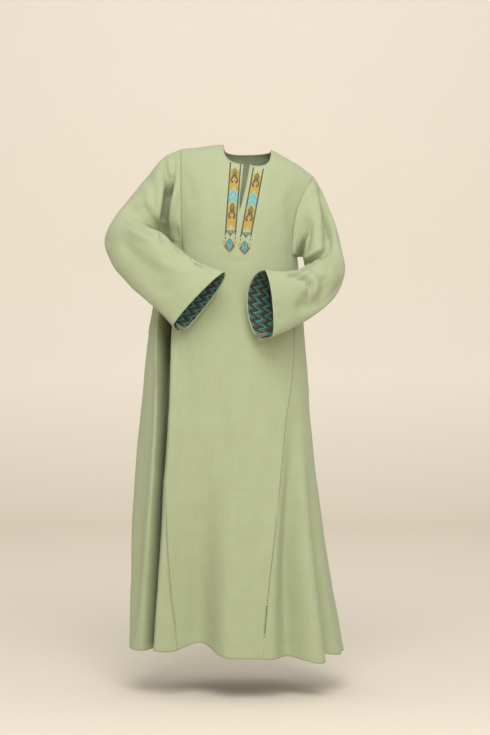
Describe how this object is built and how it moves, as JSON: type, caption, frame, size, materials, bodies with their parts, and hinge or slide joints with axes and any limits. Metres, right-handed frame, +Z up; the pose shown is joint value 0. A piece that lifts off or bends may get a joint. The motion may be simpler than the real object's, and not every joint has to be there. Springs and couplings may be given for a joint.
{
  "type": "jalabiya",
  "caption": "Ankle-length loose linen jalabiya, hollow as worn, with straight panels, flared side gores, wide sleeves and a slit neck with cross-stitch bands.",
  "frame": {"origin": "middle of the neck opening at the height of the shoulder line, where the wearer's shoulders carry it", "axes": "+Z up, +X to the wearer's left, +Y to the wearer's back"},
  "size_m": [0.6359, 0.4432, 1.3591],
  "materials": {
    "linen": "sage green slub linen, plain weave",
    "cuff_facing": "charcoal woven facing with teal zigzags",
    "embroidery": "cotton cross stitch in mustard, turquoise and slate"
  },
  "bodies": {
    "root": {"front_panel": "linen", "back_panel": "linen", "left_front_gore": "linen", "left_back_gore": "linen", "right_back_gore": "linen", "right_front_gore": "linen", "right_sleeve": "linen", "left_sleeve": "linen", "right_cuff_facing": "cuff_facing", "left_cuff_facing": "cuff_facing"}
  },
  "joints": []
}
